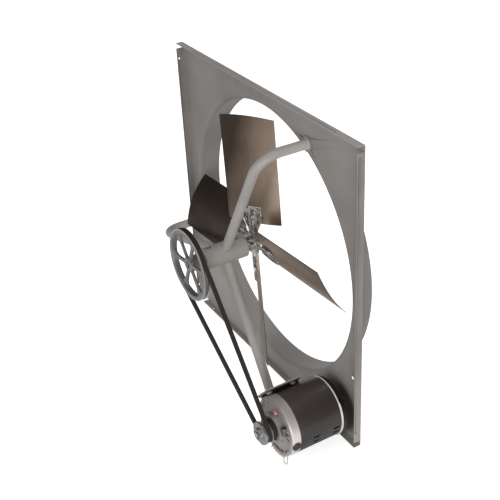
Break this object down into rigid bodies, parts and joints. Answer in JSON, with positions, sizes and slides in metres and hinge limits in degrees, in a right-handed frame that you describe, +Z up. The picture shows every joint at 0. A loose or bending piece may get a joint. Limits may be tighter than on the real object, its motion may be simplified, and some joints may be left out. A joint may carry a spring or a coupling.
{
  "type": "belt drive exhaust fan",
  "caption": "Square wall panel with a round venturi, a propeller on a tube-leg bearing frame, and a side motor that drives it through a V-belt.",
  "frame": {"origin": "centre of the panel sheet's back face", "axes": "+Y is the panel's outward normal towards the wall and the discharge side, with the motor on the -Y side; +Z up; +X towards the motor"},
  "size_m": [0.873, 0.332, 0.87],
  "materials": {
    "panel_paint": "semi-gloss grey paint",
    "tube_paint": "semi-gloss grey paint",
    "bright_steel": "turned or plated steel",
    "cast_grey": "bare casting with turned edges",
    "dark_steel": "blackened steel",
    "blade_metal": "rolled sheet, warm brown-grey",
    "zinc": "zinc-plated pressing",
    "belt_rubber": "matt",
    "shell_paint": "dark semi-gloss paint",
    "bell_metal": "die-cast, slightly warm",
    "bronze": "sintered bronze",
    "laminations": "stacked sheet",
    "copper": "enamelled copper wire",
    "black_plastic": "moulded",
    "red_plastic": "moulded",
    "beige_plastic": "moulded",
    "brown_plastic": "laminate and moulding",
    "base_paint": "black paint"
  },
  "bodies": {
    "frame": {"panel": "panel_paint", "upper_leg": "tube_paint", "left_leg": "tube_paint", "lower_leg": "tube_paint", "leg_foot_plates": "panel_paint", "leg_foot_rivets": "panel_paint", "bearing_housing": "tube_paint", "pulley_end_outer_ring": "bright_steel", "prop_end_outer_ring": "bright_steel", "pulley_end_balls": "bright_steel", "prop_end_balls": "bright_steel", "retaining_rings": "dark_steel", "v_belt": "belt_rubber", "motor_shell": "shell_paint", "front_end_bell": "bell_metal", "rear_end_bell": "bell_metal", "front_sleeve_bearing": "bronze", "rear_sleeve_bearing": "bronze", "stator_core": "laminations", "stator_windings": "copper", "through_bolts": "bright_steel", "through_bolt_nuts": "bright_steel", "start_switch_plate": "brown_plastic", "overload_protector": "black_plastic", "terminal_block": "beige_plastic", "terminal_screws": "bright_steel", "lead_clamp": "bright_steel", "lead_clamp_screws": "bright_steel", "conduit_plug": "black_plastic", "wire_loop": "bright_steel", "motor_bracket": "panel_paint", "motor_base": "base_paint", "motor_base_bolts": "bright_steel", "motor_base_nuts": "bright_steel", "motor_base_washers": "bright_steel"},
    "fan_rotor": {"fan_shaft": "bright_steel", "pulley_end_inner_ring": "bright_steel", "prop_end_inner_ring": "bright_steel", "driven_pulley": "cast_grey", "pulley_key": "bright_steel", "pulley_set_screws": "dark_steel", "prop_hub": "zinc", "prop_hub_set_screws": "dark_steel", "prop_spider": "zinc", "spider_rivets": "zinc", "upper_blade": "blade_metal", "left_blade": "blade_metal", "lower_blade": "blade_metal", "right_blade": "blade_metal", "blade_rivets": "zinc"},
    "motor_rotor": {"motor_shaft": "bright_steel", "rotor_core": "laminations", "rotor_end_rings": "bell_metal", "motor_pulley_rear_half": "bright_steel", "motor_pulley_front_half": "bright_steel", "motor_pulley_set_screw": "dark_steel", "shaft_slinger": "belt_rubber", "start_switch_collar": "brown_plastic"},
    "reset_button": {"reset_button": "red_plastic"}
  },
  "joints": [
    {"name": "fan_spin", "type": "hinge", "parent": "frame", "child": "fan_rotor", "pos_m": [0, -0.244, -0.006], "axis": [0, 1, 0], "continuous": true},
    {"name": "motor_spin", "type": "hinge", "parent": "frame", "child": "motor_rotor", "pos_m": [0.354, -0.244, -0.327], "axis": [0, 1, 0], "continuous": true},
    {"name": "reset_press", "type": "slide", "parent": "frame", "child": "reset_button", "axis": [0, 1, 0], "range_m": [0, 0.0025], "stiffness_N_per_m": 600, "springref_m": -0.002}
  ],
  "couplings": [
    {"joint": "motor_spin", "follows": "fan_spin", "ratio": 3.7093}
  ]
}
